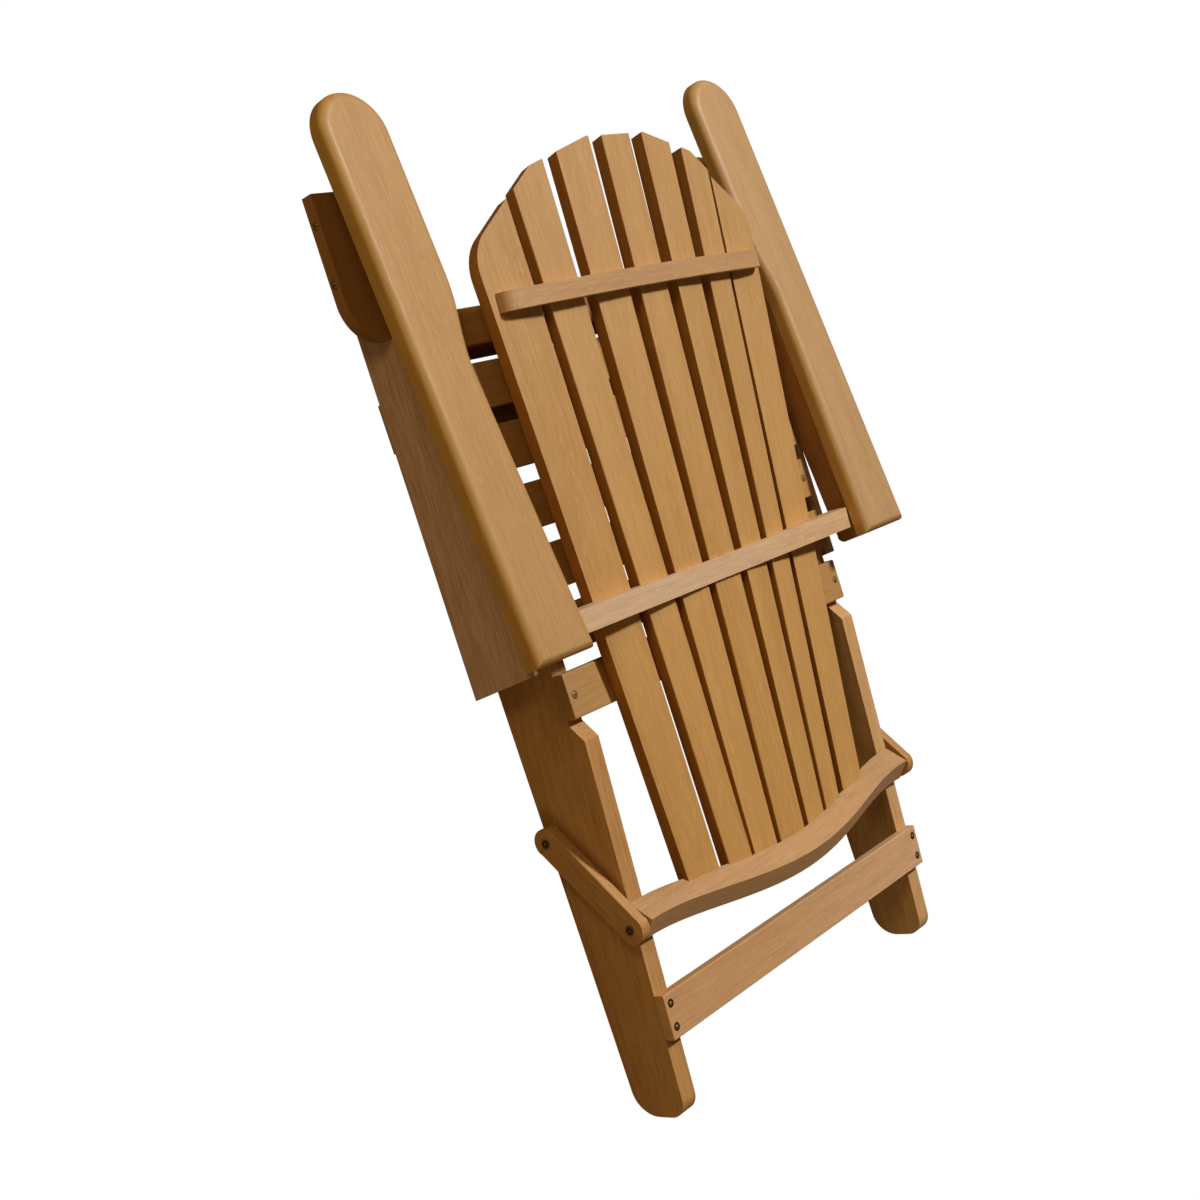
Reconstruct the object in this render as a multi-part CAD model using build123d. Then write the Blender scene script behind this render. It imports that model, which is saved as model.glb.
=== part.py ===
"""Folding adirondack chair, built in its folded pose.

Every piece is drawn in the seat frame's own axes: X across the chair, Y from the rear feet
towards the front, Z up from the stringers' top edges. The last step turns the chair round so
that its front is -Y and leans it until its feet and its stop rail lie on Z = 0.
"""

import math
import os

from build123d import *

os.makedirs("parts", exist_ok=True)

# Stringers and what lies across them
half_width = 270.0
stringer_t = 23.0
foot_y = -86.5
foot_toe_r = 30.0
foot_heel_r = 20.0
step_y = 326.8
step_run = 19.2
bottom_at_zero = -71.5
bottom_slope = -0.0765

# Seat
seat_start_y = 350.8
seat_start_z = -3.5
seat_angle = -3.416
slat_count = 6
slat_w = 48.5
slat_t = 13.0
slat_pitch = 66.19
nosing_w = 41.0
nosing_t = 20.0
nosing_r = 10.0
apron_t = 20.0
apron_h = 82.0

# Rear stretcher and the rail that stops the legs
stretcher_w = 49.5
stretcher_t = 12.0
stop_y = 661.7
stop_w = 54.0
stop_t = 13.0
stop_lap = 8.0

# Legs and arm brackets
leg_gap = 13.0
leg_t = 20.0
leg_w = 82.5
leg_slope = -3.66
leg_pivot = (629.5, -77.8)
foot_far = 236.7
foot_near = 226.9
bracket_reach = 47.0
bracket_t = 14.5
bracket_h = 156.0
bracket_r = 44.0

# Arms
arm_rear = (424.0, 54.9)
arm_slope = -9.185
arm_t = 20.0
arm_len = 603.5
arm_w = 92.3
arm_gap = 0.2
rear_set = 2.4
waist_set = 14.6
waist_at = 296.0
paddle_at = 402.0
arm_round = 11.0
arm_rail_t = 14.0
arm_rail_h = 34.2
arm_rail_len = 371.0
arm_rail_r = 9.0
rail_clear = 1.5
lug_t = 11.0
lug_gap = 0.5
lug_w = 30.0
arm_pivot = (255.0, 7.0)
arm_rest_gap = 0.5
arm_turn = -87.64

# Links
link_pivot = (226.5, -75.5)
rail_pivot = (128.3, 7.6)
link_r = 16.0
link_t = 13.0
link_gap = 4.0

# Back
back_at = (130.0, 11.6)
back_angle = 0.5
back_curve_low, back_curve_high = 1030.0, 1230.0
back_t = 15.2
back_foot = -9.0
lower_s, upper_s = 140.0, 600.0
back_slats = [(0.0, 0.0, 50.0, 50.0, 0.0), (57.2, 69.8, 42.8, 51.5, 5.2),
              (107.6, 139.3, 40.4, 49.8, 7.0), (168.3, 207.8, 53.6, 66.0, 5.0)]
arch_top = 808.0
arch_flat = 52.0
arch_bend = (147.0, 786.0)
arch_shoulder = (280.0, 694.0)
arch_draft = 14.0
arch_corner_r = 45.0
housing = 1.5
upper_rail_s = 639.5
upper_rail_w = 20.5
upper_rail_t = 14.0
upper_rail_inset = 34.0
upper_rail_r = 15.0
mid_rail_y = 435.3
mid_rail_w = 24.7
mid_rail_top = 34.0
mid_rail_t = 24.0
mid_rail_over = 0.6
mid_rail_r = 8.0
lower_rail_at = (130.7, 28.6)
lower_rail_lean = 36.5
lower_rail_t = 26.8
lower_rail_h = 30.7
lower_rail_drop = 0.3
lower_rail_bow = 76.1
lower_rail_flare = 41.8
lower_rail_clear = 3.5
lower_rail_lift = 0.6

# Pins and screws
pin_r = 3.2
leg_pin_r = 5.0
head_r = 4.7
head_h = 1.6
collar_r = 9.0
running = 0.06
side_gap = 0.4
bite = 18.0
mid_pin = (447.7, 22.0)
screw_head_r = 3.8
screw_head_h = 2.6
screw_r = 1.9
seat_screw_inset = 9.5
stretcher_screw_inset = 9.0
stretcher_screw_at = (0.25, 0.77)
bracket_screw_at = (31.0, 92.0)

# Places across the chair that follow from the seat frame's width
legs_in = half_width + leg_gap
legs_out = legs_in + leg_t
stop_half = legs_in + stop_lap
link_in = half_width + link_gap
link_out = link_in + link_t
lug_in = legs_in - lug_gap - lug_t
arm_rail_in = legs_in
arm_rail_out = arm_rail_in + arm_rail_t
arm_in_front = half_width + arm_gap
arm_in_rear = arm_in_front + rear_set
arm_in_waist = arm_in_front + waist_set
arm_out = arm_in_front + arm_w
upper_rail_half = half_width - upper_rail_inset
mid_rail_half = half_width + mid_rail_over


def side_plate(points, x0, x1):
    face = make_face(Polyline(*points, close=True))
    return Pos(x0, 0, 0) * extrude(Plane.YZ * face, x1 - x0)


def block(x0, x1, y0, y1, z0, z1):
    return Pos((x0 + x1) / 2, (y0 + y1) / 2, (z0 + z1) / 2) * Box(x1 - x0, y1 - y0, z1 - z0)


def rounded(solid, axis, radius, *spots):
    for spot in spots:
        edge = solid.edges().filter_by(axis).sort_by_distance(Vector(*spot))[0]
        solid = fillet(edge, radius)
    return solid


def rod(x0, x1, at, radius):
    bar = Cylinder(radius, x1 - x0, align=(Align.CENTER, Align.CENTER, Align.MIN))
    return Pos(x0, *at) * Rot(0, 90, 0) * bar


def screw(length):
    head = Cone(screw_r, screw_head_r, screw_head_h, align=(Align.CENTER, Align.CENTER, Align.MAX))
    shank = Cylinder(screw_r, length, align=(Align.CENTER, Align.CENTER, Align.MAX))
    return head + shank


def drive(screws, names):
    for name in names:
        for one in screws:
            nodes[name] = nodes[name] - one


def mirrored(solid):
    return solid.mirror(Plane.YZ)


def pair(name, solid):
    nodes["right_" + name] = solid
    nodes["left_" + name] = mirrored(solid)


nodes = {}

# Seat frame
seat = Pos(0, seat_start_y, seat_start_z) * Rot(seat_angle, 0, 0)
seat_end = slat_count * slat_pitch


def on_seat(y, z):
    spot = seat * Pos(0, y, z)
    return spot.position.Y, spot.position.Z


def stringer_bottom(y):
    return bottom_at_zero + bottom_slope * y


front_top = on_seat(seat_end, -slat_t)
step_foot = on_seat(step_y + step_run - seat_start_y, -slat_t)
front_low = on_seat(seat_end, -nosing_t - apron_h)
stringer = side_plate(
    [(foot_y, 0), (step_y, 0), step_foot, front_top, (front_low[0], stringer_bottom(front_low[0])),
     (foot_y, stringer_bottom(foot_y))],
    half_width - stringer_t, half_width)
stringer = rounded(stringer, Axis.X, foot_heel_r, (half_width, foot_y, 0))
stringer = rounded(stringer, Axis.X, foot_toe_r, (half_width, foot_y, stringer_bottom(foot_y)))
stringer = stringer - rod(half_width - bite, half_width, link_pivot, pin_r)
stringer = stringer - rod(half_width - stringer_t, half_width, leg_pivot, leg_pin_r + running)
pair("stringer", stringer)

for number in range(slat_count):
    start = number * slat_pitch
    slat = block(-half_width, half_width, start, start + slat_w, -slat_t, 0)
    nodes[f"seat_slat_{number + 1}"] = seat * slat
nosing = block(-half_width, half_width, seat_end, seat_end + nosing_w, -nosing_t, 0)
nosing = rounded(nosing, Axis.X, nosing_r, (0, seat_end + nosing_w, 0))
nodes["nosing"] = seat * nosing
nodes["apron"] = seat * block(-half_width, half_width, seat_end, seat_end + apron_t,
                              -nosing_t - apron_h, -nosing_t)

nodes["stretcher"] = block(-half_width, half_width, 0, stretcher_w, 0, stretcher_t)
under = Pos(0, stop_y, stringer_bottom(stop_y)) * Rot(math.degrees(math.atan(bottom_slope)), 0, 0)
nodes["stop_rail"] = under * block(-stop_half, stop_half, 0, stop_w, -stop_t, 0)

# Legs with their brackets, drawn along the leg from its pivot
leg_axes = Pos(0, *leg_pivot) * Rot(leg_slope, 0, 0)
half_leg = leg_w / 2


def on_leg(along, off):
    spot = leg_axes * Pos(0, along, off)
    return spot.position.Y, spot.position.Z


arm_axes = Pos(0, *arm_rear) * Rot(arm_slope, 0, 0)
arm_hinge = on_leg(*arm_pivot)
hinge_on_arm = arm_axes.inverse() * Pos(0, *arm_hinge)
hinge_drop = -arm_t - hinge_on_arm.position.Z
arm_in_use = math.radians(arm_slope + arm_turn - leg_slope)


crown_r = hinge_drop - arm_rest_gap


def leg_end(off):
    return arm_pivot[0] + (crown_r - (off - arm_pivot[1]) * math.cos(arm_in_use)) / -math.sin(arm_in_use)


def crowned(solid):
    start = arm_pivot[1] + crown_r * math.cos(arm_in_use)
    end = arm_pivot[0] + crown_r + leg_w
    corner = side_plate([(arm_pivot[0], start), (end, start), (end, leg_w), (arm_pivot[0], leg_w)],
                        legs_in, legs_out + bracket_reach)
    return solid - (corner - rod(legs_in, legs_out + bracket_reach, arm_pivot, crown_r))


leg = side_plate(
    [(-foot_far, -half_leg), (leg_end(-half_leg), -half_leg), (leg_end(half_leg), half_leg),
     (-foot_near, half_leg)], legs_in, legs_out)
leg = crowned(leg) - rod(legs_in, legs_in + leg_t / 2, (0, 0), leg_pin_r)
leg = leg - rod(legs_in, legs_in + leg_t - 5, arm_pivot, pin_r + running)
pair("leg", leg_axes * leg)
half_bracket = bracket_t / 2
bracket_low = leg_end(0) - bracket_h
bracket = side_plate(
    [(bracket_low, -half_bracket), (leg_end(-half_bracket), -half_bracket),
     (leg_end(half_bracket), half_bracket), (bracket_low, half_bracket)],
    legs_out, legs_out + bracket_reach)
bracket = rounded(bracket, Axis.Z, bracket_r, (legs_out + bracket_reach, bracket_low, 0))
pair("bracket", leg_axes * crowned(bracket))

# Arms, drawn along the arm from its rear end, with the top face at Z = 0
nose_r = (arm_out - arm_in_front) / 2
nose_x = (arm_out + arm_in_front) / 2
nose_at = arm_len - nose_r
outline = [
    Line((arm_out, 0), (arm_out, nose_at)),
    ThreePointArc((arm_out, nose_at), (nose_x, arm_len), (arm_in_front, nose_at)),
    Line((arm_in_front, nose_at), (arm_in_front, paddle_at)),
    Spline((arm_in_front, paddle_at), (arm_in_waist, waist_at),
           tangents=((0, -1), (arm_in_rear - arm_in_waist, -waist_at))),
    Line((arm_in_waist, waist_at), (arm_in_rear, 0)),
    Line((arm_in_rear, 0), (arm_out, 0)),
]
arm = extrude(make_face(outline), -arm_t)
arm = fillet(arm.faces().sort_by(Axis.Z)[-1].edges(), arm_round)
pair("arm", arm_axes * arm)

mid_spot = arm_axes.inverse() * Pos(0, *mid_pin)
mid_on_arm = (mid_spot.position.Y, mid_spot.position.Z)
arm_rail = block(arm_rail_in, arm_rail_out, 0, arm_rail_len, -arm_t - arm_rail_h, -arm_t)
near_leg = block(arm_rail_in, arm_rail_out, -arm_len, arm_len, -leg_w, half_leg + rail_clear)
arm_rail = arm_rail - arm_axes.inverse() * leg_axes * near_leg
arm_rail = rounded(arm_rail, Axis.X, arm_rail_r, (arm_rail_in, 0, -arm_t - arm_rail_h),
                   (arm_rail_in, arm_rail_len, -arm_t - arm_rail_h))
arm_rail = arm_rail - rod(arm_rail_in, arm_rail_out, mid_on_arm, pin_r)
pair("arm_rail", arm_axes * arm_rail)

hinge_spot = (hinge_on_arm.position.Y, hinge_on_arm.position.Z)
half_lug = lug_w / 2
lug = block(lug_in, lug_in + lug_t, hinge_spot[0] - half_lug, hinge_spot[0] + half_lug,
            hinge_spot[1], -arm_t)
lug = lug + rod(lug_in, lug_in + lug_t, hinge_spot, half_lug)
lug = lug - rod(lug_in, lug_in + lug_t, hinge_spot, pin_r)
pair("arm_lug", arm_axes * lug)

# Links outside the stringers
link_span = (rail_pivot[0] - link_pivot[0], rail_pivot[1] - link_pivot[1])
link_axes = Pos(0, *link_pivot) * Rot(math.degrees(math.atan2(link_span[1], link_span[0])), 0, 0)
link_len = math.hypot(*link_span)
link = block(link_in, link_out, 0, link_len, -link_r, link_r)
for end in (0, link_len):
    link = link + rod(link_in, link_out, (end, 0), link_r)
for end in (0, link_len):
    link = link - rod(link_in, link_out, (end, 0), pin_r + running)
pair("link", link_axes * link)

# Back, drawn along the middle slat from its foot, with that slat's rear face at Z = 0
back = Pos(0, back_at[0], back_at[1] + back_t) * Rot(back_angle, 0, 0)


def back_slat(side, low_x, high_x, low_w, high_w, turn):
    grow = (high_x - low_x) / (upper_s - lower_s)
    widen = (high_w - low_w) / (upper_s - lower_s)

    def spot(s, curve):
        x = low_x + grow * (s - lower_s)
        return Vector(side * x, s, -x * x / (2 * curve))

    def half(s):
        return (low_w + widen * (s - lower_s)) / 2

    low, high = spot(back_foot, back_curve_low), spot(arch_top + back_t, back_curve_high)
    along = high - low
    facing = Vector(1, 0, -side * math.tan(math.radians(turn))).cross(along)
    plane = Plane(origin=low, x_dir=along.cross(facing), z_dir=facing)
    reach = along.length
    corners = [(-half(back_foot), 0), (half(back_foot), 0), (half(high.Y), reach), (-half(high.Y), reach)]
    return extrude(plane * make_face(Polyline(*corners, close=True)), -back_t)


half_arch = [(arch_flat, arch_top), arch_bend, arch_shoulder, (arch_shoulder[0], back_foot - back_t)]
arch = make_face(Polyline(*half_arch, *[(-x, y) for x, y in reversed(half_arch)], close=True))
arch_depth = arch_shoulder[0] ** 2 / (2 * back_curve_high) + 2 * back_t
arch = extrude(arch, arch_depth, dir=(0, 0, -1), taper=arch_draft)
places = [back_slats[i] for i in (3, 2, 1)] + [back_slats[i] for i in (0, 1, 2, 3)]
slats = []
for number, place in enumerate(places):
    side = -1 if number < 3 else 1
    slat = back_slat(side, *place) & arch
    slats.append(slat)
for number, side in ((0, -1), (6, 1)):
    short = slats[number].edges().filter_by(lambda edge: edge.length < 1.5 * back_t)
    corner = short.sort_by_distance(Vector(side * arch_shoulder[0], arch_shoulder[1], 0))[0]
    slats[number] = fillet(corner, arch_corner_r)
for number, slat in enumerate(slats):
    nodes[f"back_slat_{number + 1}"] = back * slat

arc_at = Pos(0, upper_rail_s, -back_curve_high) * Rot(90, 0, 0)
band = Circle(back_curve_high + upper_rail_t) - Circle(back_curve_high - housing)
band = band & Pos(0, back_curve_high) * Rectangle(2 * upper_rail_half, 200)
upper_rail = arc_at * extrude(band, -upper_rail_w)
upper_rail = rounded(upper_rail, Axis.Y, upper_rail_r, (upper_rail_half, upper_rail_s, 0),
                     (-upper_rail_half, upper_rail_s, 0))
upper_rail = back * upper_rail

mid_rail = block(-mid_rail_half, mid_rail_half, mid_rail_y, mid_rail_y + mid_rail_w,
                 mid_rail_top - mid_rail_t, mid_rail_top)
mid_rail = rounded(mid_rail, Axis.Y, mid_rail_r, (mid_rail_half, mid_rail_y, mid_rail_top),
                   (-mid_rail_half, mid_rail_y, mid_rail_top))


def sweep_drop(x):
    part = x / half_width
    return lower_rail_flare * part ** 4 - lower_rail_bow * part ** 2


steps = 14
stations = [half_width * (2 * i / steps - 1) for i in range(steps + 1)]
low_edge = Spline(*[(x, sweep_drop(x) - lower_rail_drop) for x in stations])
high_edge = Spline(*[(x, sweep_drop(x) - lower_rail_drop + lower_rail_h) for x in stations])
lower_ends = [Line(low_edge @ 0, high_edge @ 0), Line(low_edge @ 1, high_edge @ 1)]
lower_face = make_face([low_edge, high_edge] + lower_ends)
lower_axes = Pos(0, *lower_rail_at) * Rot(90 + lower_rail_lean, 0, 0)
lower_rail = extrude(lower_face, lower_rail_t)
lower_rail = lower_axes * lower_rail
clip_x = half_width - stringer_t - lower_rail_clear
clip = block(clip_x, half_width + lower_rail_t, rail_pivot[0] - 2 * lower_rail_h,
             rail_pivot[0] + 2 * lower_rail_h, lower_rail_lift - 2 * lower_rail_h, lower_rail_lift)
lower_rail = lower_rail - clip - mirrored(clip)
for slat in slats:
    upper_rail = upper_rail - back * slat
    mid_rail = mid_rail - back * slat
    lower_rail = lower_rail - back * slat
pin_hole = rod(half_width - bite, half_width, rail_pivot, pin_r)
lower_rail = lower_rail - pin_hole - mirrored(pin_hole)
nodes["upper_rail"] = upper_rail
nodes["mid_rail"] = mid_rail
nodes["lower_rail"] = lower_rail

# Pins
link_pin = rod(half_width - bite, link_out + side_gap + head_h, link_pivot, pin_r)
link_pin = link_pin + rod(half_width, link_in - side_gap, link_pivot, collar_r)
link_pin = link_pin + rod(link_out + side_gap, link_out + side_gap + head_h, link_pivot, head_r)
pair("link_pin", link_pin)
rail_pin = rod(half_width - bite, link_out + side_gap + head_h, rail_pivot, pin_r)
rail_pin = rail_pin + rod(link_out + side_gap, link_out + side_gap + head_h, rail_pivot, head_r)
pair("rail_pin", rail_pin)
inner = half_width - stringer_t - side_gap
leg_pin = rod(inner - head_h, legs_in + leg_t / 2, leg_pivot, leg_pin_r)
leg_pin = leg_pin + rod(half_width + side_gap, legs_in, leg_pivot, collar_r)
leg_pin = leg_pin + rod(inner - head_h, inner, leg_pivot, collar_r)
pair("leg_pin", leg_pin)
arm_pin = rod(lug_in - head_h, legs_in + leg_t - 6, arm_hinge, pin_r)
arm_pin = arm_pin + rod(lug_in - head_h, lug_in, arm_hinge, head_r)
pair("arm_pin", arm_pin)
back_pin = rod(mid_rail_half + side_gap, arm_rail_out + head_h, mid_pin, pin_r)
back_pin = back_pin + rod(mid_rail_half + side_gap, arm_rail_in, mid_pin, head_r)
back_pin = back_pin + rod(arm_rail_out, arm_rail_out + head_h, mid_pin, head_r)
pair("back_pin", back_pin)

# Screws
seat_screws = []
stretcher_screws = []
for side in (-1, 1):
    stringer_name = "left_stringer" if side < 0 else "right_stringer"
    for number in range(slat_count):
        one = Pos(side * (half_width - seat_screw_inset), number * slat_pitch + slat_w / 2, 0)
        one = seat * one * screw(slat_t + bite)
        seat_screws.append(one)
        drive([one], [f"seat_slat_{number + 1}", stringer_name])
    for part in stretcher_screw_at:
        one = Pos(side * (half_width - stretcher_screw_inset), stretcher_w * part, stretcher_t)
        one = one * screw(stretcher_t + bite)
        stretcher_screws.append(one)
        drive([one], ["stretcher", stringer_name])
nodes["seat_screws"] = Part() + seat_screws
nodes["stretcher_screws"] = Part() + stretcher_screws
bracket_screws = []
for below in bracket_screw_at:
    one = leg_axes * Pos(legs_out + bracket_reach, leg_end(0) - below, 0) * Rot(0, 90, 0) * screw(
        bracket_reach + leg_t / 2)
    bracket_screws.append(one)
drive(bracket_screws, ["right_bracket", "right_leg"])
drive([mirrored(s) for s in bracket_screws], ["left_bracket", "left_leg"])
nodes["bracket_screws"] = Part() + bracket_screws + [mirrored(s) for s in bracket_screws]

# Rest on the floor: the toes of the feet and the rear of the stop rail touch Z = 0
rail_rear = (under * Pos(0, 0, -stop_t)).position
toe_y = foot_y + foot_toe_r * math.tan(math.pi / 4 + math.atan(bottom_slope) / 2)
lean = math.degrees(math.atan2(stringer_bottom(toe_y) - rail_rear.Z, rail_rear.Y - toe_y))
leaned = Rot(lean, 0, 0)
boxes = [(leaned * solid).bounding_box() for solid in nodes.values()]
low = min(box.min.Z for box in boxes)
middle = (min(box.min.Y for box in boxes) + max(box.max.Y for box in boxes)) / 2
floor = Rot(0, 0, 180) * Pos(0, -middle, -low) * leaned

for name, solid in nodes.items():
    export_step(floor * solid, f"parts/{name}.step")
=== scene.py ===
import math
import bmesh
import bpy
from mathutils import Matrix, Vector
from mathutils.bvhtree import BVHTree


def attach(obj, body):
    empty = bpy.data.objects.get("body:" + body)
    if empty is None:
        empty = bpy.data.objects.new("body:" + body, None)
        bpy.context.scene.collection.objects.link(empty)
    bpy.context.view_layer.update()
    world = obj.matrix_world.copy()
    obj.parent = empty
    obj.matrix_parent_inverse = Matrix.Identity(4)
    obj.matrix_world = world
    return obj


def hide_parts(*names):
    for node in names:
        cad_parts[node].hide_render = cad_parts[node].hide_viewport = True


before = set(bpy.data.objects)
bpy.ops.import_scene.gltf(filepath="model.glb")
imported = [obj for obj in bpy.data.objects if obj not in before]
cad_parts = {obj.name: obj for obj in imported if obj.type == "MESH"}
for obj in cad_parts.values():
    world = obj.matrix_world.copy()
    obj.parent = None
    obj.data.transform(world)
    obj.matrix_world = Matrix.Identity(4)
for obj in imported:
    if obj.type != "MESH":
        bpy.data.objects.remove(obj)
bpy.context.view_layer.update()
print("frame loaded:", len(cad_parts), "boards and fastenings")

upright = Vector((0, 0, 1))
white = (1.0, 1.0, 1.0)


class Sock:
    def __init__(self, tree, socket):
        self.tree, self.socket = tree, socket

    def math(self, kind, other=None, swap=False):
        values = {0: self}
        if other is not None:
            values = {0: other, 1: self} if swap else {0: self, 1: other}
        return addNode(self.tree, "ShaderNodeMath", {"operation": kind}, values)

    def __add__(self, other): return self.math("ADD", other)
    def __radd__(self, other): return self.math("ADD", other, True)
    def __sub__(self, other): return self.math("SUBTRACT", other)
    def __rsub__(self, other): return self.math("SUBTRACT", other, True)
    def __mul__(self, other): return self.math("MULTIPLY", other)
    def __rmul__(self, other): return self.math("MULTIPLY", other, True)
    def __truediv__(self, other): return self.math("DIVIDE", other)
    def __rtruediv__(self, other): return self.math("DIVIDE", other, True)
    def __abs__(self): return self.math("ABSOLUTE")
    def sine(self): return self.math("SINE")
    def root(self): return self.math("SQRT")


# adds a node of a shader or a Geometry Nodes tree and gives one of its outputs
def addNode(tree, kind, settings=None, values=None, out=0):
    node = tree.nodes.new(kind)
    for key, value in (settings or {}).items():
        if key == "stops":
            for stop, (place, colour) in zip(node.color_ramp.elements, value):
                stop.position, stop.color = place, colour
        else:
            setattr(node, key, value)
    for key, value in (values or {}).items():
        if isinstance(value, Sock):
            tree.links.new(value.socket, node.inputs[key])
        else:
            node.inputs[key].default_value = value
    return Sock(tree, node.outputs[out]) if node.outputs else None


def opaque(colour):
    return tuple(colour) + (1.0,)


def grey(level):
    return (level, level, level, 1.0)


def mixed(tree, share, first, last, **settings):
    return addNode(tree, "ShaderNodeMix", {"data_type": "RGBA", **settings}, {0: share, 6: first, 7: last}, out=2)


def newFinish(name):
    finish = bpy.data.materials.new(name)
    finish.use_nodes = True
    finish.node_tree.nodes.clear()
    return finish, finish.node_tree


def skinned(tree, values):
    skin = addNode(tree, "ShaderNodeBsdfPrincipled", None, values)
    addNode(tree, "ShaderNodeOutputMaterial", None, {"Surface": skin})


def placed(name, data):
    item = bpy.data.objects.new(name, data)
    bpy.context.collection.objects.link(item)
    return item


def plainMesh(item):
    return bpy.data.meshes.new_from_object(item.evaluated_get(bpy.context.evaluated_depsgraph_get()))


# how the boards lie: degrees that the folded chair tips up at its front, each board's slope along the chair
# before that tip, and the back slats' sideways run per unit length
lean = 5.405
slope = {
    "stringer": 0.0, "leg": -3.66, "bracket": -3.66, "arm": -9.185, "arm_rail": -9.185,
    "arm_lug": 80.0, "link": 139.7, "back_slat": 0.5,
}
seatSlope = -3.416
fan = {1: -0.0859, 2: -0.0689, 3: -0.0274, 4: 0.0, 5: 0.0274, 6: 0.0689, 7: 0.0859}


def baseName(name):
    return name.replace("left_", "").replace("right_", "")


def tipOf(degrees):
    return math.radians(degrees + lean)


def boardUp(degrees):
    tip = tipOf(degrees)
    return Vector((0, math.sin(tip), math.cos(tip)))


def runOf(name):
    base = baseName(name)
    kind = "back_slat" if base.startswith("back_slat") else base
    if kind not in slope:
        return Vector((1, 0, 0))
    side = fan[int(base[-1])] if kind == "back_slat" else 0.0
    tip = tipOf(slope[kind])
    return Vector((-side, -math.cos(tip), math.sin(tip))).normalized()


# oiled wood in linear light: the pale body, the darker late wood and the light flecks
tone = {
    "honey": ((0.582, 0.331, 0.119), (0.485, 0.259, 0.082), (0.620, 0.368, 0.150)),
    "amber": ((0.528, 0.288, 0.102), (0.440, 0.226, 0.071), (0.563, 0.320, 0.129)),
    "sand": ((0.542, 0.328, 0.155), (0.455, 0.259, 0.110), (0.577, 0.366, 0.190)),
    "ochre": ((0.537, 0.305, 0.113), (0.452, 0.240, 0.080), (0.571, 0.339, 0.138)),
    "wheat": ((0.570, 0.337, 0.169), (0.480, 0.265, 0.120), (0.605, 0.378, 0.205)),
    "blush": ((0.700, 0.475, 0.300), (0.590, 0.373, 0.213), (0.744, 0.533, 0.365)),
    "rose": ((0.640, 0.392, 0.215), (0.540, 0.308, 0.152), (0.680, 0.440, 0.262)),
    "umber": ((0.550, 0.288, 0.102), (0.440, 0.216, 0.066), (0.580, 0.325, 0.124)),
    # painted light: a paler copy of the stringers' wood, standing in for the stronger light on the chair's right side
    "tan": ((0.660, 0.390, 0.180), (0.550, 0.300, 0.120), (0.700, 0.430, 0.220)),
    "ash": ((0.714, 0.465, 0.330), (0.571, 0.350, 0.226), (0.755, 0.510, 0.385)),
    # painted shade: a darker copy of the wood for the parts that sit in shade under the arms
    "bark": ((0.360, 0.168, 0.050), (0.280, 0.120, 0.030), (0.400, 0.200, 0.070)),
}
boardTone = {
    "left_arm": "ochre", "right_arm": "sand", "nosing": "amber",
    "upper_rail": "wheat", "lower_rail": "wheat", "mid_rail": "blush",
    # the right stringer takes the paler copy as painted light, the left one the umber
    "left_stringer": "umber", "link": "umber", "right_stringer": "tan", "leg": "ash",
    # the arm rails, lugs and brackets take the darker copy of the wood as painted shade
    "bracket": "bark", "arm_rail": "bark", "arm_lug": "bark",
}


def toneOf(name):
    base = baseName(name)
    kind = "honey" if base.startswith("back_slat") else "amber" if base.startswith("seat_slat") else "rose"
    return tone[boardTone.get(name, boardTone.get(base, kind))]


# patterns of the grain: repeats per metre along, across and through the board, and how strongly each shows
grain = {
    "broad": {"scale": (1.2, 16.0, 16.0), "detail": 2.0, "rough": 0.55, "shows": 1.4},
    "band": {"scale": (3.0, 75.0, 75.0), "detail": 3.0, "rough": 0.55, "shows": 0.8},
    "mottle": {"scale": (16.0, 34.0, 34.0), "detail": 2.0, "rough": 0.55, "shows": 0.7},
    "streak": {"scale": (20.0, 400.0, 400.0), "detail": 3.0, "rough": 0.6, "shows": 1.9},
    "fine": {"scale": (40.0, 950.0, 950.0), "detail": 2.0, "rough": 0.55, "shows": 1.2},
    "fleck": {"scale": (62.0, 430.0, 430.0), "detail": 1.0, "rough": 0.55, "shows": 0.75},
}
mean = 0.5
boldKinds = ("streak", "fine")
boldBoards = {"leg": 1.8, "stringer": 1.7, "link": 1.5}      # boards whose grain stands out more
# growth rings about a pith outside the board, metres, and how dark their late wood is
rings = {
    "step": 0.0085, "sway": 0.045, "depth": 0.16, "lateFrom": 0.35, "taper": 0.02,
    "aside": 0.021, "below": 0.07, "deeper": 0.02,
}
# where in the timber each next board was cut, metres, and how its darkness strays
timber = {"along": 0.37, "length": 3.1, "aside": 0.013, "dark": 0.40, "strays": 0.05}
fleckRange = (0.58, 0.74)
sheen = {"rough": 0.52, "fine": 0.16, "streak": 0.12}
fibre = {"strength": 0.10, "depth": 0.0005, "streak": 0.6, "fine": 0.4}
steepest = 0.2      # a board that stands nearly upright has its across measured from the chair's length


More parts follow.
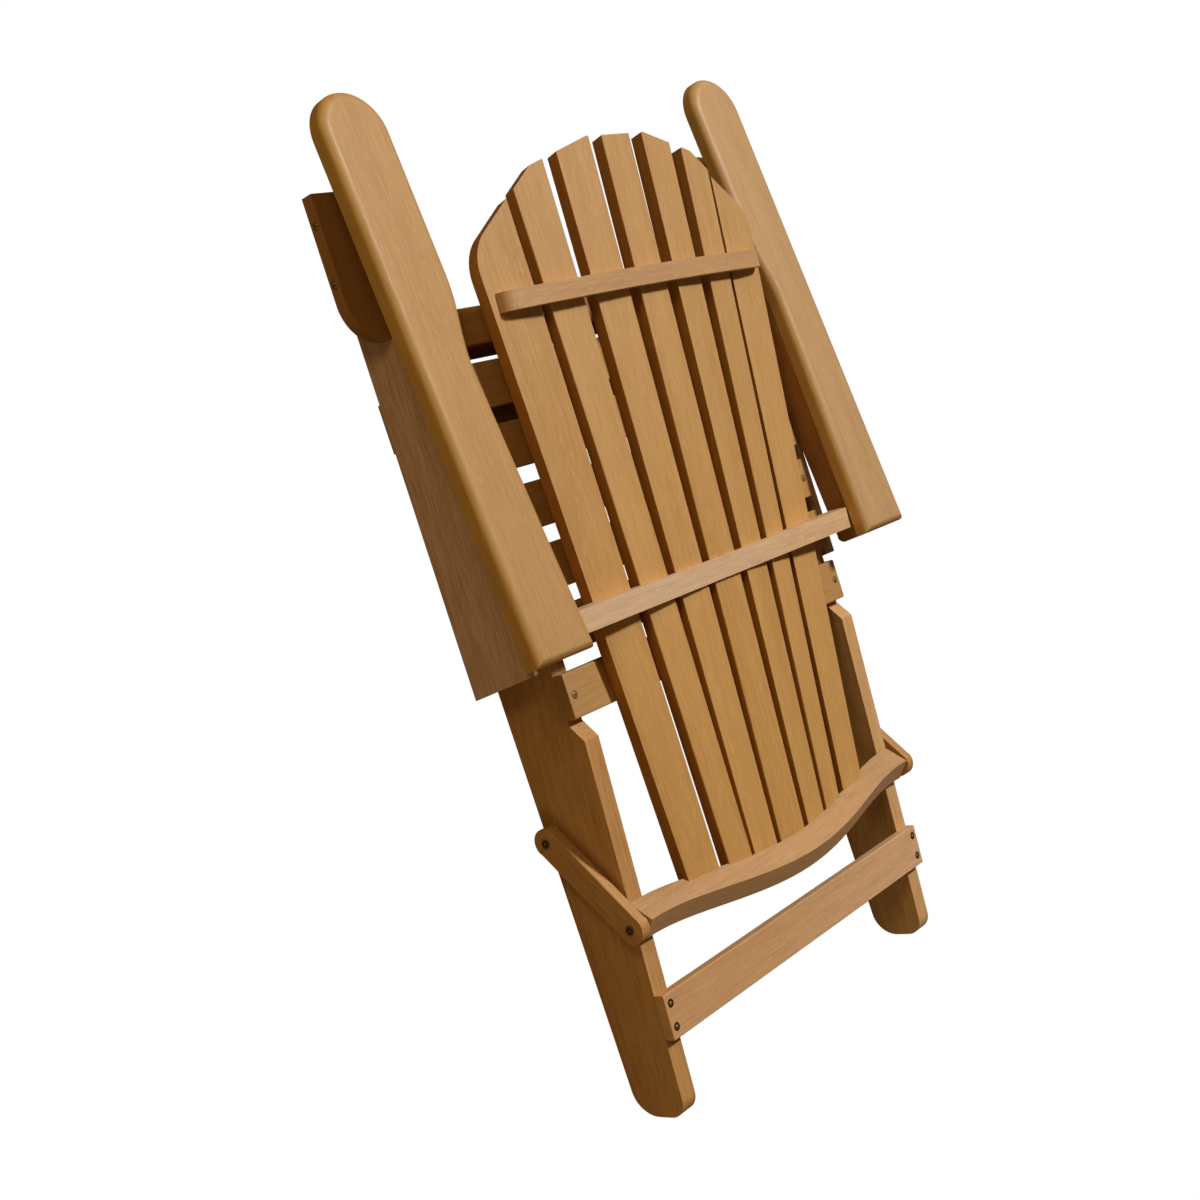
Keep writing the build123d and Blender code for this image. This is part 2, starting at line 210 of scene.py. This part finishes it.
# a plain-sawn board: slow bands, streaks, fibres and flecks along it, and faint rings about a far pith
def boardFinish(name, along, tones, seed, bold, shade=None):
    finish, tree = newFinish(name)
    across = along.cross(upright)
    if across.length < steepest:
        across = along.cross(Vector((0, 1, 0)))
    across.normalize()
    turn = Matrix((along, across, along.cross(across))).to_euler()
    stray = seed * 5 % 7 - 3      # whole steps either way that scatter the boards, the same at each run
    shift = (timber["along"] * seed % timber["length"], timber["aside"] * (seed * 7 % 5 - 2), 0.0)
    place = addNode(tree, "ShaderNodeTexCoord", out="Object")
    board = addNode(tree, "ShaderNodeMapping", {"vector_type": "POINT"},
                    {"Vector": place, "Rotation": turn, "Location": shift})

    def pattern(kind):
        values = grain[kind]
        sized = addNode(tree, "ShaderNodeVectorMath", {"operation": "MULTIPLY"}, {0: board, 1: values["scale"]})
        return addNode(tree, "ShaderNodeTexNoise", {"noise_dimensions": "3D"},
                       {"Vector": sized, "Scale": 1.0, "Detail": values["detail"], "Roughness": values["rough"]})

    def stepped(value, start, end):
        return addNode(tree, "ShaderNodeValToRGB", {"stops": [(start, grey(0.0)), (end, grey(1.0))]}, {0: value})

    wave = {kind: pattern(kind) for kind in grain}
    x, y, z = [addNode(tree, "ShaderNodeSeparateXYZ", None, {0: board}, out=axis) for axis in "XYZ"]
    pithY, pithZ = rings["aside"] * stray, -rings["below"] - rings["deeper"] * (seed % 3)
    dy, dz = y - pithY, z - pithZ + x * (rings["taper"] * (seed % 4))
    radius = (dy * dy + dz * dz).root() + (wave["broad"] - mean) * rings["sway"]
    ring = (radius * (2 * math.pi / rings["step"])).sine() * 0.5 + 0.5
    late = stepped(ring, rings["lateFrom"], 1.0)
    dark = timber["dark"] + timber["strays"] * stray + late * wave["band"] * (2 * rings["depth"])
    for kind in ("broad", "band", "mottle", "streak", "fine"):
        dark = dark + (wave[kind] - mean) * (grain[kind]["shows"] * (bold if kind in boldKinds else 1.0))
    pale, deep, bright = [opaque(colour) for colour in tones]
    base = mixed(tree, dark, pale, deep, clamp_factor=False)
    base = mixed(tree, stepped(wave["fleck"], *fleckRange) * grain["fleck"]["shows"], base, bright)
    if shade:
        base = mixed(tree, 1.0, base, shade(tree, place), blend_type="MULTIPLY")
    rough = sheen["rough"] + (wave["fine"] - mean) * sheen["fine"] + (wave["streak"] - mean) * sheen["streak"]
    relief = wave["streak"] * fibre["streak"] + wave["fine"] * fibre["fine"]
    bump = addNode(tree, "ShaderNodeBump", None,
                   {"Strength": fibre["strength"], "Distance": fibre["depth"], "Height": relief})
    skinned(tree, {"Base Color": base, "Roughness": rough, "Normal": bump})
    return finish


# painted light: boards whose tone shifts towards one end, standing in for the key light falling off along them:
# between which places along them, metres
paintedLightAlong = {
    "back_slat": {"way": (0, 1, 0), "start": -0.50, "end": 0.25,
                  "first": (1.0, 1.03, 1.18), "last": (1.05, 1.01, 0.90)},
    "stretcher": {"way": (1, 0, 0), "start": -0.25, "end": 0.25,
                  "first": (1.12, 1.12, 1.13), "last": (1.01, 0.94, 0.82)},
    "mid_rail": {"way": (1, 0, 0), "start": -0.28, "end": 0.05,
                 "first": (1.02, 0.97, 0.86), "last": (1.01, 1.02, 1.07)},
}
# painted shade: the arms' rounded sides are tinted a deeper ochre where they turn away from the light: how far below
# the top face, metres
roundOverShade = {"from": 0.0012, "to": 0.0060, "tint": (1.0, 0.97, 0.62)}
# painted shade: the back slats' side faces, down in the gaps between the slats, are tinted darker: faces whose normal
# is less upright than this
sawn = {"below": 0.6, "tint": (0.70, 0.54, 0.25)}


# a tint that goes from one to another along a direction
def fadeAlong(tree, place, way, start, end, first, last):
    level = addNode(tree, "ShaderNodeVectorMath", {"operation": "DOT_PRODUCT"}, {0: place, 1: way}, out="Value")
    share = addNode(tree, "ShaderNodeMapRange", {"interpolation_type": "SMOOTHSTEP"},
                    {"Value": level, "From Min": start, "From Max": end})
    return mixed(tree, share, opaque(first), opaque(last))


# painted shade multiplied into the colour of the back slats' side faces
def shadedSlatSides(tree, faces):
    edge = addNode(tree, "ShaderNodeAttribute", {"attribute_name": "sawn"}, out="Fac")
    return mixed(tree, edge, faces, opaque(sawn["tint"]), blend_type="MULTIPLY")


# the painted light and shade that a board's colour takes: the tone shift along it, the slats' shaded sides, the arms'
# shaded round-overs
def shadeOf(name, node):
    for kind, fade in paintedLightAlong.items():
        if name.startswith(kind):
            if kind == "back_slat":
                return lambda tree, place: shadedSlatSides(tree, fadeAlong(tree, place, **fade))
            return lambda tree, place: fadeAlong(tree, place, **fade)
    # the arms take painted shade on their rounded sides, below the top face
    if baseName(name) == "arm":
        up = boardUp(slope["arm"])
        top = max(vertex.co.dot(up) for vertex in node.data.vertices)
        return lambda tree, place: fadeAlong(tree, place, up, top - roundOverShade["to"], top - roundOverShade["from"],
                                             roundOverShade["tint"], white)
    return None


patina = {"scale": 420.0, "detail": 3.0, "from": 0.35, "gain": 2.2, "rough": 0.32, "swing": 0.25}


def metalFinish(name, bright, dull, metallic):
    finish, tree = newFinish(name)
    place = addNode(tree, "ShaderNodeTexCoord", out="Object")
    cloud = addNode(tree, "ShaderNodeTexNoise", None,
                    {"Vector": place, "Scale": patina["scale"], "Detail": patina["detail"]})
    tint = mixed(tree, (cloud - patina["from"]) * patina["gain"], opaque(bright), opaque(dull))
    rough = patina["rough"] + cloud * patina["swing"]
    skinned(tree, {"Base Color": tint, "Roughness": rough, "Metallic": metallic})
    return finish


brass = metalFinish("agedBrass", (0.46, 0.31, 0.12), (0.22, 0.14, 0.06), 0.6)
# dark bronze for the screws, also used as painted shade in the screws' counterbores and sockets
bronzeAndHoleShade = metalFinish("darkBronze", (0.050, 0.030, 0.012), (0.024, 0.014, 0.006), 0.3)
steel = metalFinish("brownedSteel", (0.17, 0.095, 0.040), (0.10, 0.055, 0.024), 0.3)


# a Geometry Nodes tree with named inputs, which are given as kind, label and value
def newTree(name, inputs):
    tree = bpy.data.node_groups.new(name, "GeometryNodeTree")
    tree.interface.new_socket("Geometry", in_out="INPUT", socket_type="NodeSocketGeometry")
    for kind, label, value in inputs:
        slot = tree.interface.new_socket(label, in_out="INPUT", socket_type="NodeSocket" + kind)
        slot.default_value = value
    tree.interface.new_socket("Geometry", in_out="OUTPUT", socket_type="NodeSocketGeometry")
    entry = tree.nodes.new("NodeGroupInput")
    return tree, {socket.name: Sock(tree, socket) for socket in entry.outputs if socket.name}


# widths and lengths in metres, angles in degrees
easing = {"width": 0.0011, "rounds": 2, "join": 0.00002, "sharpFrom": 28.0, "easeFrom": 35.0, "shortest": 0.0022}


# merges the loose triangles, keeps only the real arrises sharp, marks the long ones for easing, and marks the side
# faces that take painted shade on the back slats
def arrisTree():
    tree, given = newTree("arris", [
        ("Float", "Join", easing["join"]), ("Float", "Sharp From", math.radians(easing["sharpFrom"])),
        ("Float", "Ease From", math.radians(easing["easeFrom"])), ("Float", "Shortest", easing["shortest"]),
        ("Float", "Edge Below", sawn["below"])])

    def compared(kind, one, other):
        return addNode(tree, "FunctionNodeCompare", {"operation": kind}, {0: one, 1: other})

    def stored(shape, name, domain, value):
        return addNode(tree, "GeometryNodeStoreNamedAttribute", {"data_type": "FLOAT", "domain": domain},
                       {"Geometry": shape, "Name": name, "Value": value})

    angle = addNode(tree, "GeometryNodeInputMeshEdgeAngle")
    ends = [addNode(tree, "GeometryNodeInputMeshEdgeVertices", out=end) for end in ("Position 1", "Position 2")]
    length = addNode(tree, "ShaderNodeVectorMath", {"operation": "DISTANCE"}, dict(enumerate(ends)), out="Value")
    normal = addNode(tree, "GeometryNodeInputNormal")
    height = addNode(tree, "ShaderNodeSeparateXYZ", None, {0: normal}, out="Z")
    soft = compared("LESS_THAN", angle, given["Sharp From"])
    eased = addNode(tree, "FunctionNodeBooleanMath", {"operation": "AND"},
                    {0: compared("GREATER_THAN", angle, given["Ease From"]),
                     1: compared("GREATER_THAN", length, given["Shortest"])})
    aside = compared("LESS_THAN", abs(height), given["Edge Below"])
    shape = addNode(tree, "GeometryNodeMergeByDistance", None,
                    {"Geometry": given["Geometry"], "Distance": given["Join"]})
    shape = addNode(tree, "GeometryNodeSetShadeSmooth", None, {"Geometry": shape})
    shape = addNode(tree, "GeometryNodeSetShadeSmooth", {"domain": "EDGE"}, {"Geometry": shape, "Shade Smooth": soft})
    shape = stored(shape, "bevel_weight_edge", "EDGE", eased)
    addNode(tree, "NodeGroupOutput", None, {0: stored(shape, "sawn", "FACE", aside)})
    return tree


arris = arrisTree()
metalNames = ("pin", "screws")


def easeArrises(board):
    ease = board.modifiers.new("ease", "BEVEL")
    ease.width, ease.segments, ease.limit_method = easing["width"], easing["rounds"], "WEIGHT"
    ease.harden_normals = False
    level = board.modifiers.new("level", "WEIGHTED_NORMAL")      # flat faces stay flat up to their eased arrises
    level.mode, level.keep_sharp = "FACE_AREA_WITH_ANGLE", True


def joinFacets(piece):
    piece.modifiers.new("arris", "NODES").node_group = arris


for seed, (name, node) in enumerate(sorted(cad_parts.items())):
    joinFacets(node)
    node.data.materials.clear()
    if name.endswith(metalNames):
        node.data.materials.append(steel if name.endswith("pin") else bronzeAndHoleShade)
        continue
    node.data.materials.append(boardFinish("wood_" + name, runOf(name), toneOf(name), seed,
                                           boldBoards.get(baseName(name), 1.0), shadeOf(name, node)))
    easeArrises(node)
print("boards finished")


def cornersOf(name):
    return [vertex.co.copy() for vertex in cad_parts[name].data.vertices]


def shellOf(name):
    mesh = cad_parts[name].data
    return BVHTree.FromPolygons([vertex.co for vertex in mesh.vertices], [face.vertices for face in mesh.polygons])


backSlats = sorted(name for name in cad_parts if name.startswith("back_slat"))

# the mid rail's front is scribed to the curve of the back, so that it lies behind all the slats, metres
midRail = {"step": 0.0005, "above": 1.0, "clear": 0.00015, "margin": 0.02, "flatFrom": 0.7}


# the two edges of a slat's rear face along the middle of the rail
def rearEdges(shell, across, along):
    hits = [shell.ray_cast(Vector((x, along, midRail["above"])), -upright) for x in across]
    rear = [place for place, way, *_ in hits if place and way.z > midRail["flatFrom"]]
    return [(place.x, place.z + midRail["clear"]) for place in (rear[0], rear[-1])]


def weld(mesh):
    work = bmesh.new()
    work.from_mesh(mesh)
    bmesh.ops.remove_doubles(work, verts=work.verts, dist=easing["join"])
    bmesh.ops.recalc_face_normals(work, faces=work.faces)
    work.to_mesh(mesh)
    work.free()


# what the slats take up of the rail: their rear faces' outline, drawn out along them past both of the rail's sides
def slatSpace():
    corners = cornersOf("mid_rail")
    front, rear = [pick(corner.y for corner in corners) for pick in (min, max)]
    middle, bottom = (front + rear) / 2, min(corner.z for corner in corners) - midRail["margin"]
    reach = int(max(corner.x for corner in corners) / midRail["step"])
    across = [step * midRail["step"] for step in range(-reach, reach + 1)]
    curve = sorted(edge for slat in backSlats for edge in rearEdges(shellOf(slat), across, middle))
    outline = curve + [(curve[-1][0], bottom), (curve[0][0], bottom)]
    rise = math.tan(tipOf(slope["back_slat"]))
    ends = [[(x, y, z if z == bottom else z - (y - middle) * rise) for x, z in outline]
            for y in (front - midRail["margin"], rear + midRail["margin"])]
    count = len(outline)
    walls = [(i, (i + 1) % count, count + (i + 1) % count, count + i) for i in range(count)]
    caps = [tuple(range(count))[::-1], tuple(range(count, 2 * count))]
    mesh = bpy.data.meshes.new("waste")
    mesh.from_pydata(ends[0] + ends[1], [], walls + caps)
    return mesh


def scribedMidRail():
    rail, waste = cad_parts["mid_rail"].data.copy(), slatSpace()
    for mesh in (rail, waste):
        weld(mesh)
    blank, scrap = [placed(mesh.name, mesh) for mesh in (rail, waste)]
    cut = blank.modifiers.new("scribe", "BOOLEAN")
    cut.object, cut.operation, cut.solver = scrap, "DIFFERENCE", "EXACT"
    joinFacets(blank)
    made = plainMesh(blank)
    for item in (blank, scrap):
        bpy.data.objects.remove(item)
    piece = placed("scribedMidRail", made)
    easeArrises(piece)
    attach(piece, "back")
    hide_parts("mid_rail")


scribedMidRail()
print("mid rail scribed to the back")

# radii and heights of the heads, metres
fastener = {
    "dome": {"ring": 0.0043, "ringLift": 0.0002, "dome": 0.0036, "domeLift": 0.0007, "socket": 0.0011},
    "cup": {"ring": 0.0047, "ringLift": 0.0003, "dome": 0.0021, "domeLift": 0.0008, "socket": 0.0005},
    "bolt": {"ring": 0.0034, "ringLift": 0.0003, "dome": 0.0012, "domeLift": 0.0007, "socket": 0.0004},
}
headSides = {"ring": 24, "dome": 20, "domeRings": 8, "socket": 6}
socketShare = 2.06       # the socket's prism stands just proud of the dome
headSeed = 7


# one screw head on every point: a dark disc about it, painted shade for the gap of its counterbore, a low dome, and a
# dark prism, painted shade for the driver's socket
def fastenerTree():
    sizes = [("Float", label, value) for label, value in fastener["dome"].items()]
    tree, given = newTree("fastener", sizes + [("Material", "rim", bronzeAndHoleShade), ("Material", "head", brass),
                                               ("Int", "Seed", headSeed)])
    rim = addNode(tree, "GeometryNodeMeshCylinder", None,
                  {"Vertices": headSides["ring"], "Radius": given["ring"], "Depth": given["ringLift"]})
    ball = addNode(tree, "GeometryNodeMeshUVSphere", None,
                   {"Segments": headSides["dome"], "Rings": headSides["domeRings"], "Radius": given["dome"]})
    squash = addNode(tree, "ShaderNodeCombineXYZ", None, {"X": 1.0, "Y": 1.0, "Z": given["domeLift"] / given["dome"]})
    low = addNode(tree, "GeometryNodeTransform", None, {"Geometry": ball, "Scale": squash})
    prism = addNode(tree, "GeometryNodeMeshCylinder", None,
                    {"Vertices": headSides["socket"], "Radius": given["socket"],
                     "Depth": given["domeLift"] * socketShare})
    whole = addNode(tree, "GeometryNodeJoinGeometry")
    for shape, stuff in ((rim, "rim"), (low, "head"), (prism, "rim")):
        painted = addNode(tree, "GeometryNodeSetMaterial", None, {"Geometry": shape, "Material": given[stuff]})
        tree.links.new(painted.socket, whole.socket.node.inputs[0])
    facing = addNode(tree, "GeometryNodeInputNamedAttribute", {"data_type": "FLOAT_VECTOR"}, {"Name": "facing"})
    aim = addNode(tree, "FunctionNodeAlignRotationToVector", {"axis": "Z"}, {"Vector": facing})
    spin = addNode(tree, "FunctionNodeRandomValue", {"data_type": "FLOAT"},
                   {2: 0.0, 3: 2 * math.pi, "Seed": given["Seed"]}, out=1)
    twist = addNode(tree, "ShaderNodeCombineXYZ", None, {"Z": spin})
    turn = addNode(tree, "FunctionNodeRotateRotation", {"rotation_space": "LOCAL"},
                   {"Rotation": aim, "Rotate By": twist})
    sown = addNode(tree, "GeometryNodeInstanceOnPoints", None,
                   {"Points": given["Geometry"], "Instance": whole, "Rotation": turn})
    real = addNode(tree, "GeometryNodeRealizeInstances", None, {"Geometry": sown})
    addNode(tree, "NodeGroupOutput", None, {0: real})
    return tree


heads = fastenerTree()


def screwHeads(name, body, kind, tops):
    mesh = bpy.data.meshes.new(name + "Points")
    mesh.from_pydata([tuple(place) for place, _ in tops], [], [])
    facing = mesh.attributes.new("facing", "FLOAT_VECTOR", "POINT")
    for slot, (_, way) in zip(facing.data, tops):
        slot.vector = way
    points = placed(name + "Points", mesh)
    sow = points.modifiers.new("fastener", "NODES")
    sow.node_group = heads
    for item in heads.interface.items_tree:
        if item.name in fastener[kind]:
            sow[item.identifier] = fastener[kind][item.name]
    made = plainMesh(points)
    bpy.data.objects.remove(points)
    piece = placed(name, made)
    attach(piece, body)


headReach = 0.0095       # corners nearer than this to one another's axis belong to one screw, metres
rimDepth = 0.0003        # and those nearer than this to its top to the rim of its flat end


# the middle of the flat end that a screw or bolt shows on one side
def endOf(corners, way):
    height = max(corner.dot(way) for corner in corners)
    rim = [corner for corner in corners if height - corner.dot(way) < rimDepth]
    return sum(rim, Vector()) / len(rim), way


# the heads of a node that holds several screws
def screwTops(name, facingOf):
    screws = []
    for corner in cornersOf(name):
        facing = facingOf(corner)
        for way, corners in screws:
            offset = corner - corners[0]
            if way == facing and (offset - way * offset.dot(way)).length < headReach:
                corners.append(corner)
                break
        else:
            screws.append((facing, [corner]))
    return [endOf(corners, way) for way, corners in screws]


def boltTops(kind):
    return [endOf(cornersOf(side + kind), Vector((way, 0, 0))) for side, way in (("left_", 1), ("right_", -1))]


def outward(corner):
    return Vector((math.copysign(1, corner.x), 0, 0))


# a screw in the front of each back slat where a rail lies behind it, metres
slatScrew = {"step": 0.001, "foot": 0.004, "length": 0.80, "below": 0.06, "reach": 0.045, "least": 0.010}


# walks up the middle of each back slat's front face and stops halfway across every rail
def slatTops():
    rails = [shellOf(rail) for rail in ("upper_rail", "mid_rail", "lower_rail")]
    tops = []
    for slat in backSlats:
        corners = cornersOf(slat)
        low = max(corner.y for corner in corners)
        feet = [corner for corner in corners if low - corner.y < slatScrew["foot"]]
        foot, run, shell = sum(feet, Vector()) / len(feet), runOf(slat), shellOf(slat)
        for rail in rails:
            crossing = []
            for step in range(int(slatScrew["length"] / slatScrew["step"])):
                spot = foot + run * (step * slatScrew["step"])
                place, way, *_ = shell.ray_cast(spot - upright * slatScrew["below"], upright)
                if place and rail.ray_cast(place, upright, slatScrew["reach"])[0]:
                    crossing.append((place, way))
            if len(crossing) * slatScrew["step"] > slatScrew["least"]:
                tops.append(crossing[len(crossing) // 2])
    return tops


screwHeads("seatScrewHeads", "seat_frame", "dome", screwTops("seat_screws", lambda corner: boardUp(seatSlope)))
screwHeads("stretcherScrewHeads", "seat_frame", "cup", screwTops("stretcher_screws", lambda corner: boardUp(0.0)))
screwHeads("bracketScrewHeads", "legs", "dome", screwTops("bracket_screws", outward))
screwHeads("slatScrewHeads", "back", "dome", slatTops())
screwHeads("linkBoltHeads", "seat_frame", "bolt", boltTops("link_pin"))
screwHeads("railBoltHeads", "back", "bolt", boltTops("rail_pin"))
print("screw heads sown")

# the floor looks white to the camera and throws a dim warm light back on the wood
ground = {"reach": 9, "tone": (0.16, 0.11, 0.05), "rough": 0.9}
floorMesh = bpy.data.meshes.new("floor")
floorMesh.from_pydata([(x * ground["reach"], y * ground["reach"], 0) for x, y in ((-1, -1), (1, -1), (1, 1), (-1, 1))],
                      [], [(0, 1, 2, 3)])
floor = placed("floor", floorMesh)
paper, paperTree = newFinish("palePaper")
paperSkin = addNode(paperTree, "ShaderNodeBsdfPrincipled", None,
                    {"Base Color": opaque(ground["tone"]), "Roughness": ground["rough"]})
glow = addNode(paperTree, "ShaderNodeEmission", None, {"Color": opaque(white), "Strength": 1.0})
seen = addNode(paperTree, "ShaderNodeLightPath", out="Is Camera Ray")
sheet = addNode(paperTree, "ShaderNodeMixShader", None, {0: seen, 1: paperSkin, 2: glow})
addNode(paperTree, "ShaderNodeOutputMaterial", None, {"Surface": sheet})
floorMesh.materials.append(paper)

light = {
    "key": {"place": (-1.45, -2.5, 4.8), "size": 0.75, "power": 257.0, "tint": (1.0, 0.970, 0.910)},
    "fill": {"place": (2.4, -2.0, 2.0), "size": 1.2, "power": 21.5, "tint": (1.0, 0.74, 0.36)},
    "bounce": {"place": (2.6, 2.6, 0.65), "size": 1.4, "power": 12.0, "tint": (1.0, 0.72, 0.34)},
}
lightAim = Vector((0, 0, 0.1))
skyTone = (0.075, 0.055, 0.026)


def areaLight(name, place, size, power, tint):
    lamp = bpy.data.lights.new(name, "AREA")
    lamp.shape, lamp.size, lamp.energy, lamp.color = "DISK", size, power, tint
    holder = placed(name, lamp)
    holder.location = place
    holder.rotation_euler = (lightAim - Vector(place)).to_track_quat("-Z", "Y").to_euler()


for name, values in light.items():
    areaLight(name, **values)
sky = bpy.data.worlds.new("sky")
bpy.context.scene.world = sky
sky.use_nodes = True
air = sky.node_tree
air.nodes.clear()
dim = addNode(air, "ShaderNodeBackground", None, {"Color": opaque(skyTone), "Strength": 1.0})
wall = addNode(air, "ShaderNodeBackground", None, {"Color": opaque(white), "Strength": 1.0})
seen = addNode(air, "ShaderNodeLightPath", out="Is Camera Ray")
around = addNode(air, "ShaderNodeMixShader", None, {0: seen, 1: dim, 2: wall})
addNode(air, "ShaderNodeOutputWorld", None, {"Surface": around})
bpy.context.scene.view_settings.view_transform = "Standard"
print("floor and lights set")

camera = {
    "place": (1.63462, -0.04464, 1.36691),
    "right": (-0.610996, 0.328049, 0.720463),
    "down": (0.235606, 0.944211, -0.230121),
    "forward": (-0.755760, 0.029142, -0.654200),
    "lens": 54.513,
    "sensor": 36.0,
}
eye = bpy.data.cameras.new("eye")
eye.lens, eye.sensor_width = camera["lens"], camera["sensor"]
eyeHolder = placed("eye", eye)
right, down, forward = [Vector(camera[k]) for k in ("right", "down", "forward")]
pose = Matrix((right, -down, -forward)).transposed().to_4x4()
pose.translation = camera["place"]
eyeHolder.matrix_world = pose
bpy.context.scene.camera = eyeHolder
print("camera set")
